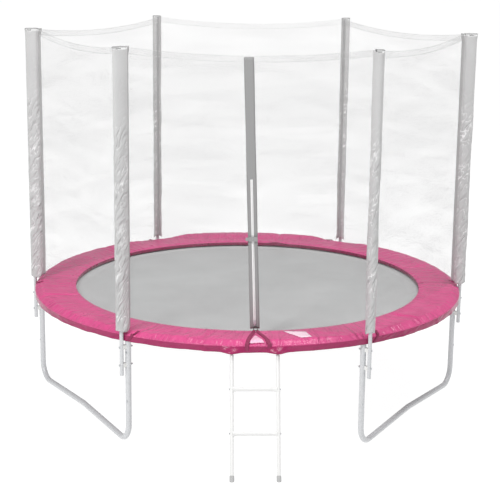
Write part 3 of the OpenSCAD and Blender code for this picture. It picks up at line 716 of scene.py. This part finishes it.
def onPad(x, y, lift):  # a place that far above the pad's upper side
    grid = padTop["grid"]
    ring = grid[int(round(math.atan2(y, x) % (2 * math.pi) / (2 * math.pi) * len(grid))) % len(grid)]
    nearest = np.argsort(np.abs(np.hypot(ring[:, 0], ring[:, 1]) - math.hypot(x, y)))[:2]
    return (x, y, float(ring[nearest, 2].max()) + lift)


def hookAngles():  # where the ladder's hooks go over the ring, above the stiles' top ends
    inset = 0.0125  # half a stile's tube
    stiles = ("ladder_stile_left", "ladder_stile_right")
    return [math.atan2(-ringRadius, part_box(node)[0].x + inset) for node in stiles]


def awayFrom(A, angle):  # angles from that one, taken the shorter way round
    return np.abs((A - angle + math.pi) % (2 * math.pi) - math.pi)


def crownAt(A, R):  # between two poles the pad stands up over the ring, outside the net's line
    panel = (A / (math.pi / 3)).astype(int) % 6
    turned = A - (panel + 0.5) * math.pi / 3
    line = Vector((poles[0].x, poles[0].y)).length * math.cos(math.pi / 6) / np.cos(turned)
    outside = smooth(line - 0.03, line + 0.07, R) * smooth(R.max() - 0.001, R.max() - 0.045, R)
    clearOfPoles = smooth(math.pi / 6, math.pi / 6 - 0.16, np.abs(turned))
    return np.array(pad["crown"])[panel] * outside * clearOfPoles


def makePad():
    print("stage: pad")
    around = pad["around"]
    radius, height, free, part = (np.array(column) for column in zip(*padProfile()))
    angle = np.linspace(0, 2 * math.pi, around, endpoint=False)
    A, R = np.meshgrid(angle, radius, indexing="ij")
    Z = np.tile(height, (around, 1))
    F = np.tile(free, (around, 1))
    seams = [math.radians(pad["firstSeam"] + 60 * i) for i in range(pad["sections"])]
    near = np.min([awayFrom(A, seam) for seam in seams], axis=0) * R
    topPart = np.tile(np.isin(part, ["top", "rim"]), (around, 1))
    Z = np.where(topPart, Z - pad["seamDepth"] * np.exp(-(near / 0.006) ** 2), Z)
    pinned = (F < 0.1) | ((near < pad["seamWidth"]) & topPart)
    X, Y = R * np.cos(A), R * np.sin(A)
    points = np.stack([X, Y, Z], axis=2).reshape(-1, 3)
    across = np.concatenate([[0], np.cumsum(np.hypot(np.diff(radius), np.diff(height)))])
    uvs = np.stack([A * 1.4, np.tile(across, (around, 1))], axis=2).reshape(-1, 2)
    faces = gridFaces(around, len(radius), closedAcross=True, closedAlong=True)
    piece = meshPiece("pad_cover", points, faces, finishes["padCloth"], uvs)
    facesOut(piece)
    piece.data.materials.append(finishes["padEdgePaintedShade"])
    piece.data.materials.append(finishes["padSkirtPaintedShade"])
    # painted shade: the hanging skirt and the inner face and underside take the darker copies of the pink
    # cloth
    paintedShadeSkirt = (height < padHigh.z - 0.020) & (part == "skirt")
    paintedShadeInside = np.isin(part, ["edge", "edgeBack", "under", "skirtBack"])
    kinds = np.tile(np.where(paintedShadeInside, 1, np.where(paintedShadeSkirt, 2, 0)), around)
    for face in piece.data.polygons:
        face.material_index = int(min(kinds[i] for i in face.vertices))
    moved = simulatePad(piece, points, np.nonzero(pinned.ravel())[0])
    step = moved - points
    size = np.linalg.norm(step, axis=1)
    moved = points + step * (np.minimum(size, pad["cap"]) / np.maximum(size, 1e-9))[:, None]
    moved = shapePad(moved.reshape(around, -1, 3), A, R, Z, part, near)
    padTop["grid"] = moved[:, part == "top"]
    piece.data.vertices.foreach_set("co", moved.reshape(-1).astype(np.float32))
    piece.data.update()
    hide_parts("safety_pad")
    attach(piece, "frame")


def simulatePad(piece, points, pinned):  # air pressure puffs the free part of the upper side up
    scene = bpy.context.scene
    group = piece.vertex_groups.new(name="pinned")
    group.add([int(i) for i in pinned], 1.0, "REPLACE")
    cloth = piece.modifiers.new("puff", "CLOTH")
    cloth.settings.quality = 4
    cloth.settings.mass = 0.2
    cloth.settings.tension_stiffness = cloth.settings.compression_stiffness = 18
    cloth.settings.bending_stiffness = 0.4
    cloth.settings.vertex_group_mass = "pinned"
    cloth.settings.use_pressure = True
    cloth.settings.uniform_pressure_force = pad["pressure"]
    cloth.settings.shrink_min = pad["slack"]
    cloth.settings.effector_weights.gravity = 0
    cloth.point_cache.frame_start = 1
    cloth.point_cache.frame_end = pad["frames"]
    for number in range(1, pad["frames"] + 1):
        scene.frame_set(number)
    evaluated = piece.evaluated_get(bpy.context.evaluated_depsgraph_get())
    result = np.zeros(len(points) * 3, np.float32)
    evaluated.data.vertices.foreach_get("co", result)
    piece.modifiers.clear()
    piece.vertex_groups.clear()
    scene.frame_set(1)
    print("pad moved at most", round(float(np.abs(result.reshape(-1, 3) - points).max()), 4))
    return result.reshape(-1, 3).astype(float)


def shapePad(moved, A, R, Z, part, near):  # folds and creases, the hanging skirt's waves, and the crown
    along = A * 1.5  # arc length near the outer edge
    top = (part == "top")[None, :]
    hanging = np.isin(part, ["skirt", "skirtBack"])[None, :]
    edgeOut = smooth(R.max() - 0.10, R.max() - 0.02, R)
    edgeIn = smooth(R.min() + 0.07, R.min() + 0.01, R)
    seam = np.exp(-(near / 0.05) ** 2)
    fromDoor = (A - math.radians(pad["doorAngle"])) * R
    gathered = np.exp(-(fromDoor / 0.13) ** 2)  # the door's straps gather the cloth
    busy = 0.4 + 0.6 * edgeOut + 0.7 * seam + 1.2 * gathered
    fold = 0.8 * creases(along, R, 5, 0.085, 9, (-35, 35)) * busy
    fold += 0.6 * creases(along, R, 6, 0.05, 6, (50, 130)) * (edgeOut + 0.4 * edgeIn + 0.5 * seam)
    moved[..., 2] -= np.where(top, pad["folds"] * fold, 0)
    low = smooth(padHigh.z - 0.018, padLow.z, Z)
    clear = np.ones_like(A)  # the cloth lies flat behind each pole
    for pole in poles:
        clear *= smooth(0.02, 0.10, awayFrom(A, math.atan2(pole.y, pole.x)) * R)
    wave = pad["skirtWave"] * (0.3 + low) * waves(along, Z, 11, 0.16)
    wave += pad["skirtFolds"] * (0.3 + low) * (creases(along, Z * 1.5, 3, 0.05, 6, (-35, 35)) - 0.4)
    wave = np.where(wave < 0, 0.25 * wave, wave * clear)
    lift = np.maximum(waves(along, along * 0, 12, 0.22), 0) * pad["skirtLift"] * low
    moved[..., 2] += np.where(hanging, lift, 0)
    for hook in hookAngles():
        wave += pad["flare"] * low * np.exp(-(awayFrom(A, hook) * R / pad["flareWidth"]) ** 2)
    moved[..., :2] += np.where(hanging, wave, 0)[..., None] * np.stack([np.cos(A), np.sin(A)], axis=2)
    moved[..., 2] = np.minimum(moved[..., 2], padHigh.z + 0.0008)
    moved[..., 2] += np.where(np.isin(part, ["top", "rim"])[None, :], crownAt(A, R), 0)
    atSeam = (A - math.radians(pad["raisedSeam"])) * R  # the far seam's inner corner stands up
    lifted = np.exp(-(atSeam / 0.05) ** 2) * edgeIn
    moved[..., 2] += np.where(np.isin(part, ["top", "edge"])[None, :], pad["raised"] * lifted, 0)
    return moved


makePad()


# pole sleeves

sleeves = {
    # for poles 1 to 6: the way the pocket's flat side runs, its half width, how far its middle is shifted,
    # how far its lower end is lifted, and how wide that end is as a share
    "turn": (180, 250, 290, 0, 45, 110), "half": (0.0535, 0.047, 0.047, 0.054, 0.060, 0.050),
    "shift": (0.0155, 0.010, 0.010, 0.026, 0.016, 0.010), "lift": (0.0, 0.001, 0.001, 0.010, 0.0, 0.004),
    "end": (0.97, 0.9, 0.9, 0.97, 0.97, 0.5),
    # for all
    "thick": 0.033, "wall": 0.0012, "seamBand": 0.022, "around": 52, "rows": 190, "fold": 0.0062,
    "calm": 0.8, "mouth": 0.06, "mouthFlare": 0.12, "dip": 0.014, "clear": 0.0029}


def makeSleeve(k):
    around, rows = sleeves["around"], sleeves["rows"]
    half, shift, thick = sleeves["half"][k], sleeves["shift"][k], sleeves["thick"]
    lowest = sleeveLow + sleeves["lift"][k]
    # P goes round the sleeve and S goes up it, from 0 to 1
    P, S = np.meshgrid(np.linspace(0, 2 * math.pi, around, endpoint=False), np.linspace(0, 1, rows))
    cut = 0.024 * smooth(0, 1, np.cos(P)) + 0.012 * smooth(0.3, 1, -np.cos(P))  # lower corners are cut away
    Z = lowest + S * (sleeveHigh - lowest) + cut * (1 - smooth(0, 0.05, S))
    mouth = smooth(1 - sleeves["mouth"] / (sleeveHigh - sleeveLow), 1.0, S)
    tapered = sleeves["end"][k] + (1 - sleeves["end"][k]) * smooth(0.01, 0.14, S)
    wide = half * (1 + sleeves["mouthFlare"] * mouth) * tapered
    x = shift * (wide / half) + wide * np.cos(P)
    seamSide = smooth(shift + half - 0.030, shift + half - 0.016, x)
    y = thick * np.sin(P) * (1 - 0.80 * seamSide)
    middleRow = np.stack([x[rows // 2], y[rows // 2]], axis=1)
    girth = float(np.linalg.norm(middleRow - np.roll(middleRow, 1, axis=0), axis=1).sum())
    roundCloth = P / (2 * math.pi) * girth
    fold = creases(roundCloth, Z, 20 + k, 0.075, 9, (15, 75)) + 0.5 * waves(roundCloth, Z, 40 + k, 0.35)
    slack = 1 - sleeves["calm"] * smooth(0.64, 0.80, S)  # the upper end hangs almost smooth
    push = sleeves["fold"] * smooth(0, 0.03, S) * slack * (fold - 0.5) * (1 - 0.8 * seamSide)
    nx, ny = np.cos(P) / half, np.sin(P) / thick
    x, y = x + push * nx / np.hypot(nx, ny), y + push * ny / np.hypot(nx, ny)
    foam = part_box("foam_tubes")[1].x - poles[0].x + sleeves["clear"]
    reach = np.maximum(foam / np.maximum(np.hypot(x, y), 0.001), 1)  # the foam inside keeps the cloth out
    x, y = x * reach, y * reach
    turn = math.radians(sleeves["turn"][k])
    X = poles[k].x + x * math.cos(turn) - y * math.sin(turn)
    Y = poles[k].y + x * math.sin(turn) + y * math.cos(turn)
    facing = -(nx * math.sin(turn) + ny * math.cos(turn)) / np.hypot(nx, ny)
    Z -= sleeves["dip"] * mouth ** 3 * smooth(-0.1, 0.9, facing)  # the front of the mouth hangs a little
    points = np.stack([X, Y, Z], axis=2).reshape(-1, 3)
    piece = meshPiece(f"sleeve_cover_{k + 1}", points, gridFaces(rows, around, closedAcross=True),
                      finishes["sleeveCloth"], np.stack([roundCloth, Z], axis=2).reshape(-1, 2))
    # the seam side's band takes the darker grey as painted shade on the flattened seam flap; the top row at
    # the back of the mouth takes it too
    for finish in ("seam", "seam", "lining", "seam", "seam"):
        piece.data.materials.append(finishes[finish])
    onSeam = (x > shift * (wide / half) + wide - sleeves["seamBand"]).reshape(-1)
    onHem = ((S > 1 - 1.5 / rows) & (facing < 0.1)).reshape(-1)
    for face in piece.data.polygons:
        if all(onHem[i] for i in face.vertices):
            face.material_index = 2
        elif all(onSeam[i] for i in face.vertices):
            face.material_index = 1
    thicken(piece, sleeves["wall"], offset=-1.0, innerMaterial=3)
    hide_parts(f"pole_sleeve_{k + 1}")
    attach(piece, "frame")


print("stage: sleeves")
for k in range(6):
    makeSleeve(k)


# net, band and door

net = {"seamReach": 0.061, "edge": 0.002, "doorEdge": 0.004, "overlap": 0.004, "sag": 0.045, "ripple": 0.006,
       "bandHeight": 0.043, "bandThick": 0.003, "stitch": (0.0014, 0.0014, 0.010),
       "rows": 60, "columns": 60, "doorColumns": (28, 32)}


door = {"flapWidth": 0.062, "flapThick": 0.0012, "flapRipple": 0.0012, "flapStitch": (0.0013, 0.0013, 0.010),
        "tape": 0.016, "tapeThick": 0.0018, "tooth": (0.00286, 0.0016, 0.003), "toothSide": 0.0011,
        "pitch": 0.005, "strapWidth": 0.025, "strapThick": 0.0016, "strapLeft": 0.009, "strapRight": 0.150}


def netCorner(k):  # where the net is sewn to a sleeve, inside its pole
    place = Vector((poles[k % 6].x, poles[k % 6].y))
    return place * (1 - net["seamReach"] / place.length)


def panelFrame(k):  # a panel's start, its way along, its way outwards, and its width
    start = netCorner(k)
    run = netCorner(k + 1) - start
    along = run.normalized()
    return start, along, Vector((along.y, -along.x)), run.length


def sagAt(share):  # how far the net's top hangs, at a share of its panel's width
    return net["sag"] * 4 * share * (1 - share)


def doorX(z):  # the door line leans a little
    half = door["tape"] / 2
    share = (z - zipLow.z) / (zipHigh.z - zipLow.z)
    return (zipHigh.x - half) * (1 - share) + (zipLow.x + half) * share


def netSheet(name, k, leftEdge, rightEdge, columns):  # each edge gives its place along the panel at a height
    start, along, outward, width = panelFrame(k)
    rows = net["rows"]
    s = np.tile(np.linspace(0, 1, columns), rows)
    up = np.repeat(np.linspace(0, 1, rows), columns)
    roughZ = netLow + up * (bandTop - net["bandHeight"] - netLow)
    u = leftEdge(roughZ) * (1 - s) + rightEdge(roughZ) * s
    z = netLow + up * (bandTop - net["bandHeight"] - sagAt(u / width) + net["overlap"] - netLow)
    window = np.sqrt(np.clip(16 * s * (1 - s) * up * (1 - up), 0, 1))  # 0 at the sewn edges, 1 in the middle
    bulge = net["ripple"] * waves(u, z * 0.5, 60 + k, 0.55) * window - 0.010 * window
    X = start.x + along.x * u + outward.x * bulge
    Y = start.y + along.y * u + outward.y * bulge
    piece = meshPiece(name, np.stack([X, Y, z], axis=1), gridFaces(rows, columns), finishes["net"],
                      np.stack([u, z], axis=1))
    height = float((z.reshape(rows, columns)[-1] - netLow).mean())
    across = float(np.mean([rightEdge(h) - leftEdge(h) for h in (netLow, bandTop)]))
    return piece, (across, float(z.max() - netLow)), across * height


def tapeStrip(name, lines, thickness, finish):
    # a strip of tape between two lines of points, thickened about its middle
    grid = np.array([[tuple(p) for p in line] for line in lines])
    rows, count = grid.shape[:2]
    lengths = np.cumsum(np.linalg.norm(np.diff(grid[0], axis=0, prepend=grid[:1, 0]), axis=1))
    widths = np.cumsum(np.linalg.norm(np.diff(grid[:, 0], axis=0, prepend=grid[:1, 0]), axis=1))
    uvs = [(lengths[i], widths[j]) for j in range(rows) for i in range(count)]
    piece = meshPiece(name, grid.reshape(-1, 3), gridFaces(rows, count), finishes[finish], uvs)
    return thicken(piece, thickness)


def makeNetPanel(k):
    start, along, outward, width = panelFrame(k)
    edge = net["edge"]
    made = []
    if k == 4:
        gap, counts = net["doorEdge"], net["doorColumns"]
        made.append(("net_front_left", lambda z: edge, lambda z: doorX(z) - start.x - gap, counts[0]))
        made.append(("net_front_right", lambda z: doorX(z) - start.x + gap, lambda z: width - edge,
                     counts[1]))
    else:
        made.append((f"net_panel_{k + 1}", lambda z: edge, lambda z: width - edge, net["columns"]))
    for name, left, right, columns in made:
        piece, flat, area = netSheet(name, k, left, right, columns)
        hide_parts("enclosure_net")
        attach(piece, "frame")
    share = np.linspace(0.0, 1.0, 49)
    u = edge + share * (width - 2 * edge)
    crumple = 0.0018 * waves(u, u * 0, 80 + k, 0.12) * np.sin(share * math.pi)
    lines = []
    for j in range(5):
        drop = net["bandHeight"] * j / 4
        lean = crumple * (1 if j % 2 else -0.6)
        lines.append([(start.x + along.x * a + outward.x * b, start.y + along.y * a + outward.y * b,
                       bandTop - drop - sagAt(a / width)) for a, b in zip(u, lean)])
    band = tapeStrip(f"net_band_{k + 1}", lines, net["bandThick"], "band")
    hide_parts("net_top_band")
    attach(band, "frame")
    seams = [[(start.x + along.x * a + outward.x * side, start.y + along.y * a + outward.y * side,
               bandTop - drop - sagAt(a / width)) for a in u[1:-1]]
             for drop in (0.004, net["bandHeight"] - 0.005) for side in (0.0022, -0.0022)]
    stitchLine(f"band_stitches_{k + 1}", seams, 0.018, net["stitch"], "thread", "frame")


print("stage: net")
for k in range(6):
    makeNetPanel(k)


def doorPoint(side, up, depth):
    # a point in the door's own frame: side across, up along the zip from its lower end, depth as a y
    lean = math.atan2(doorX(zipLow.z) - doorX(zipHigh.z), zipHigh.z - zipLow.z)
    base = Vector((doorX(zipLow.z), 0, zipLow.z))
    across, along = Vector((math.cos(lean), 0, math.sin(lean))), Vector((-math.sin(lean), 0, math.cos(lean)))
    place = base + across * side + along * up
    return (place.x, depth, place.z)


def makeDoor():
    print("stage: door")
    outside, inside = flapLow.y, flapHigh.y
    flapMiddle = (outside + inside) / 2
    length = bandTop - net["sag"] - 0.006 - flapLow.z
    ups = np.linspace(-0.030, length - 0.032, 90)
    lines = []
    for j in range(7):
        side = door["flapWidth"] * (j / 6 - 0.5)
        free = smooth(0.96, 1.1, ups)  # above the zip the flap hangs freely and ripples more
        ripple = door["flapRipple"] * waves(ups, ups * 0 + side, 7, 0.5) * (0.2 + free)
        wide = 1 + 0.02 * np.sin(ups * 9)
        lines.append([doorPoint(side * w, t, flapMiddle + r) for t, r, w in zip(ups, ripple, wide)])
    flap = tapeStrip("door_flap", lines[::-1], door["flapThick"], "flap")
    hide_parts("zip_flap")
    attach(flap, "frame")
    zipLength = (Vector(doorPoint(0, 0, 0)) - Vector((doorX(zipHigh.z), 0, zipHigh.z))).length - 0.001
    tapeMiddle = zipHigh.y - 0.001
    ups = np.linspace(0, zipLength, 60)
    lines = [[doorPoint(door["tape"] * (0.5 - j / 4), t, tapeMiddle) for t in ups] for j in range(5)]
    tape = tapeStrip("zip_tape", lines, door["tapeThick"], "zipTape")
    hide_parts("door_zip")
    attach(tape, "frame")
    toothDepth = zipLow.y + 0.0008
    rows = [[doorPoint(side, t, toothDepth) for t in (start, zipLength - 0.004)]
            for side, start in ((-door["toothSide"], 0.002), (door["toothSide"], 0.002 + door["pitch"] / 2))]
    teeth = stitchLine("zip_teeth", rows, door["pitch"], door["tooth"], "thread", "frame")
    ups = np.linspace(-0.02, length - 0.04, 60)
    edges = [[doorPoint(side * (door["flapWidth"] / 2 - 0.004), t, outside) for t in ups] for side in (-1, 1)]
    stitchLine("flap_stitches", edges, 0.018, door["flapStitch"], "greyPlastic", "frame")


def makeStrap(name, endX, side):
    # tape from the ring at the door's foot, over the pad's edge and down its skirt
    ringLow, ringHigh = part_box("door_ring")
    ringX, ringY = (ringLow.x + ringHigh.x) / 2, (ringLow.y + ringHigh.y) / 2
    outer = padHigh.x
    end = Vector((endX, -math.sqrt((outer + 0.0015) ** 2 - endX ** 2)))
    start = Vector((ringX + side * 0.010, ringY))
    run = (end - start).normalized()
    acrossTop = Vector((-run.y, run.x))
    tangent = Vector((-end.y, end.x)).normalized()
    if tangent.dot(acrossTop) < 0:
        tangent = -tangent
    out = Vector((end.x, end.y)).normalized()
    stages = [(start + run * -0.004, padHigh.z + 0.008), (start + run * 0.004, padHigh.z + 0.0105),
              (start + run * 0.012, padHigh.z + 0.007)]
    stages += [(start + run * d, None) for d in np.linspace(0.03, (end - start).length - 0.012, 14)]
    stages += [(end - run * 0.005, padHigh.z - 0.001), (end + out * 0.0005, padHigh.z - 0.006)]
    stages += [(end + out * 0.0016, z) for z in np.linspace(padHigh.z - 0.012, padLow.z + 0.006, 8)]
    lines = [[], [], [], [], []]
    turnFrom = len(stages) - 9  # the last stage before the hanging end
    for i, (place, z) in enumerate(stages):
        share = smooth(turnFrom - 3, turnFrom + 1, float(i))
        across = (acrossTop * (1 - share) + tangent * share).normalized()
        narrow = 0.45 + 0.55 * smooth(0, 4, float(i))  # gathered where it passes the ring
        for j in range(5):
            offset = across * door["strapWidth"] * narrow * (j / 4 - 0.5)
            spot = place + offset
            if i > turnFrom:  # keeps the hanging end on the skirt's curve
                spot = spot.normalized() * (outer + 0.0022)
            lines[j].append(onPad(spot.x, spot.y, 0.0022) if z is None else (spot.x, spot.y, float(z)))
    strap = tapeStrip(name, lines, door["strapThick"], "strap")
    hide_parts("door_straps")
    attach(strap, "frame")


makeDoor()
makeStrap("door_strap_left", door["strapLeft"], -1)
makeStrap("door_strap_right", door["strapRight"], 1)


patch = {"corners": ((0.236, -1.268), (0.385, -1.2745), (0.419, -1.403), (0.348, -1.427)), "thick": 0.0008,
         "lift": 0.0013}
# the pale sheet between the door straps, coloured as a painted highlight
paleHighlightSheet = {"tip": (0.060, -1.385), "left": (0.026, -1.512), "right": (0.118, -1.508), "thick": 0.0009,
          "lift": 0.0014, "puff": 0.0045}
poleStrap = {"width": 0.018, "thick": 0.0014, "lift": 0.0018}


def makePatch():  # plain pale patch lying on the pad beside the door
    corners = [Vector(corner) for corner in patch["corners"]]
    lines = []
    for j in range(7):
        left, right = corners[0].lerp(corners[3], j / 6), corners[1].lerp(corners[2], j / 6)
        lines.append([onPad(*left.lerp(right, i / 9), patch["lift"]) for i in range(10)])
    piece = tapeStrip("pad_patch", lines, patch["thick"], "patch")
    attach(piece, "frame")


def makePoleStrap(k):  # strap that ties the pad down beside a pole
    pole = math.atan2(poles[k].y, poles[k].x)
    outer = padHigh.x
    # degrees past the pole, radius, and height where it isn't the pad's own
    stations = [(3.3, outer - 0.055, None), (3.25, outer - 0.04, None), (3.1, outer - 0.025, None),
                (2.9, outer - 0.012, None), (2.75, outer - 0.002, padHigh.z - 0.0045)]
    stations += [(2.7 - 1.2 * t ** 1.5, outer + 0.0026, padHigh.z - 0.010 - t * 0.048)
                 for t in np.linspace(0, 1, 9)]
    lines = [[], [], [], []]
    for turn, radius, z in stations:
        for j in range(4):
            a = pole + math.radians(turn) + poleStrap["width"] * (j / 3 - 0.5) / radius
            x, y = radius * math.cos(a), radius * math.sin(a)
            lines[j].append(onPad(x, y, poleStrap["lift"]) if z is None else (x, y, z))
    strap = tapeStrip(f"pole_strap_{k + 1}", lines, poleStrap["thick"], "strap")
    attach(strap, "frame")


def makePaleHighlightSheet():  # pale crumpled sheet between the two straps; its pale pink is a painted highlight on the pad's crumpled cloth
    tip, left, right = (Vector(paleHighlightSheet[corner]) for corner in ("tip", "left", "right"))
    lines = []
    for j in range(13):
        start, end = tip.lerp(left, j / 12), tip.lerp(right, j / 12)
        lines.append([])
        for i in range(17):
            spot = start.lerp(end, i / 16)
            puff = paleHighlightSheet["puff"] * math.sin(math.pi * i / 16) * math.sin(math.pi * j / 12)
            crumple = creases(np.array([spot.x]), np.array([spot.y]), 9, 0.03, 7)[0]
            lines[-1].append(onPad(spot.x, spot.y, paleHighlightSheet["lift"] + puff * (0.3 + crumple)))
    piece = tapeStrip("door_pale_highlight_sheet", lines[1:], paleHighlightSheet["thick"], "paleHighlightSheet")
    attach(piece, "frame")


makePatch()
makePaleHighlightSheet()
for k in range(6):
    makePoleStrap(k)


def makePadStitches():  # one seam round the pad, where the skirt is sewn on
    r, z = padHigh.x - 0.0002, padHigh.z - pad["thick"]
    seam = [(r * math.cos(a), r * math.sin(a), z) for a in np.linspace(0, 2 * math.pi, 361)[:-1]]
    piece = stitchLine("pad_stitches", [seam], 0.016, pad["stitch"], "pinkThread", "frame", closed=True)


makePadStitches()

print("stage: finish")
